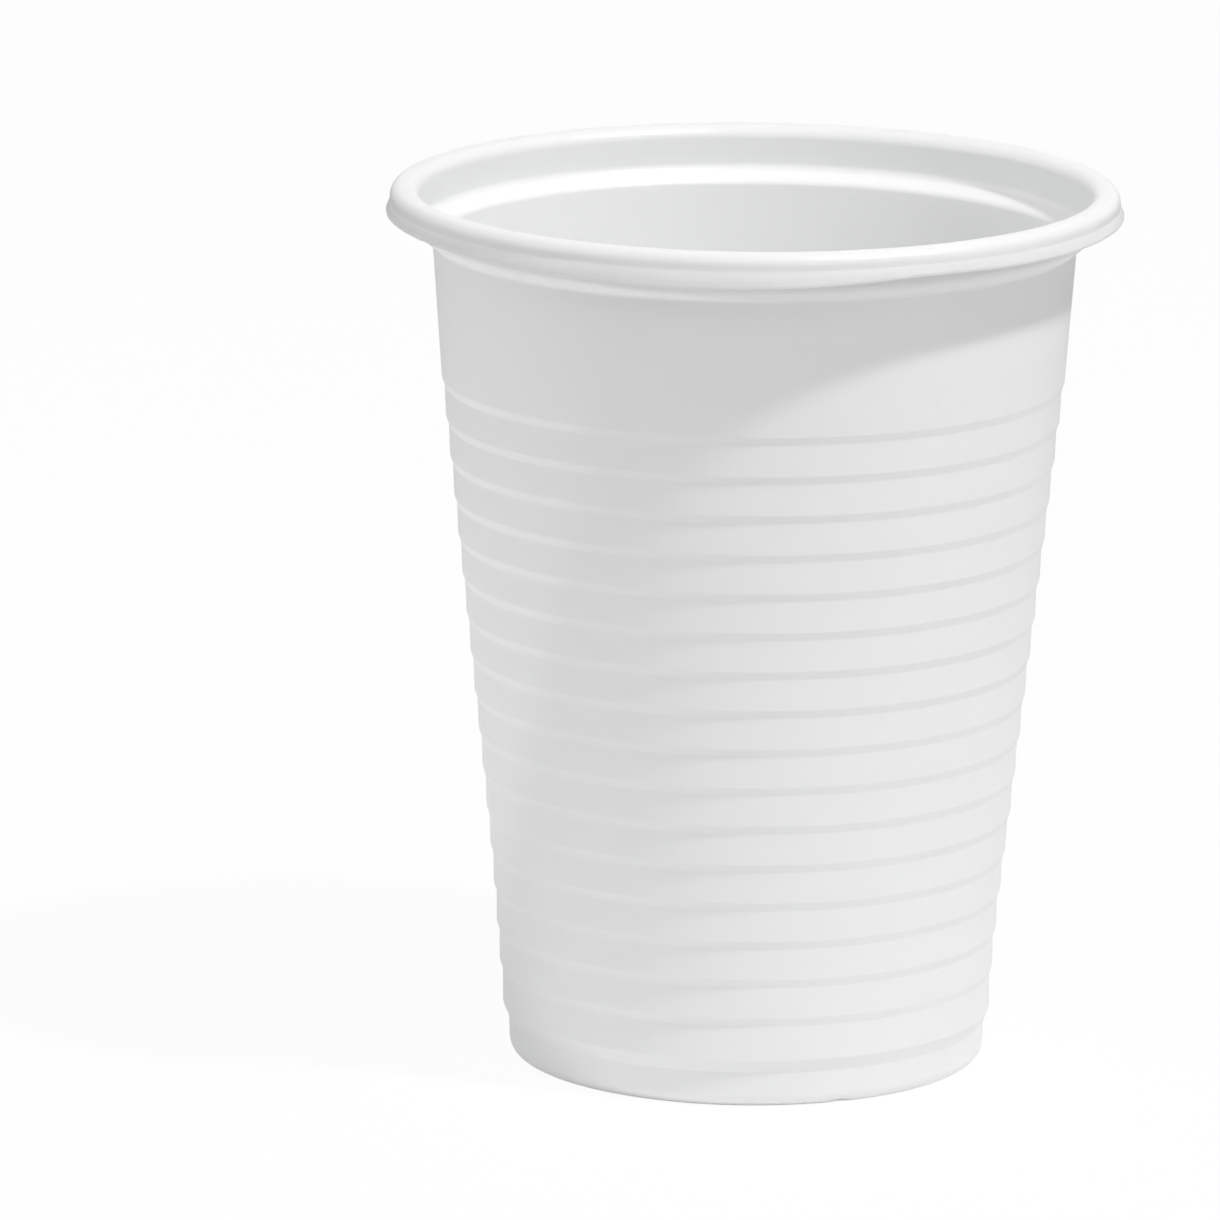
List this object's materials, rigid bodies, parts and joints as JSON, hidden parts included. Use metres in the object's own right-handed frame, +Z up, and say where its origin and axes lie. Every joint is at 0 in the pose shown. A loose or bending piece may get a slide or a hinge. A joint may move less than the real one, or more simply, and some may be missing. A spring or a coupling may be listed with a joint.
{
  "type": "disposable cup",
  "caption": "Thin-walled white plastic drinking cup with a rolled rim, stacking shoulder, smooth upper band, stepped tapering wall and raised base.",
  "frame": {"origin": "middle of the base, on the table that the cup stands on", "axes": "+Z up along the cup's axis, towards the mouth; the cup is round, so X and Y are free"},
  "size_m": [0.0702, 0.0702, 0.0848],
  "materials": {
    "white_sheet": "formed white plastic sheet, satin gloss, slightly translucent"
  },
  "bodies": {
    "root": {"cup": "white_sheet"}
  },
  "joints": []
}
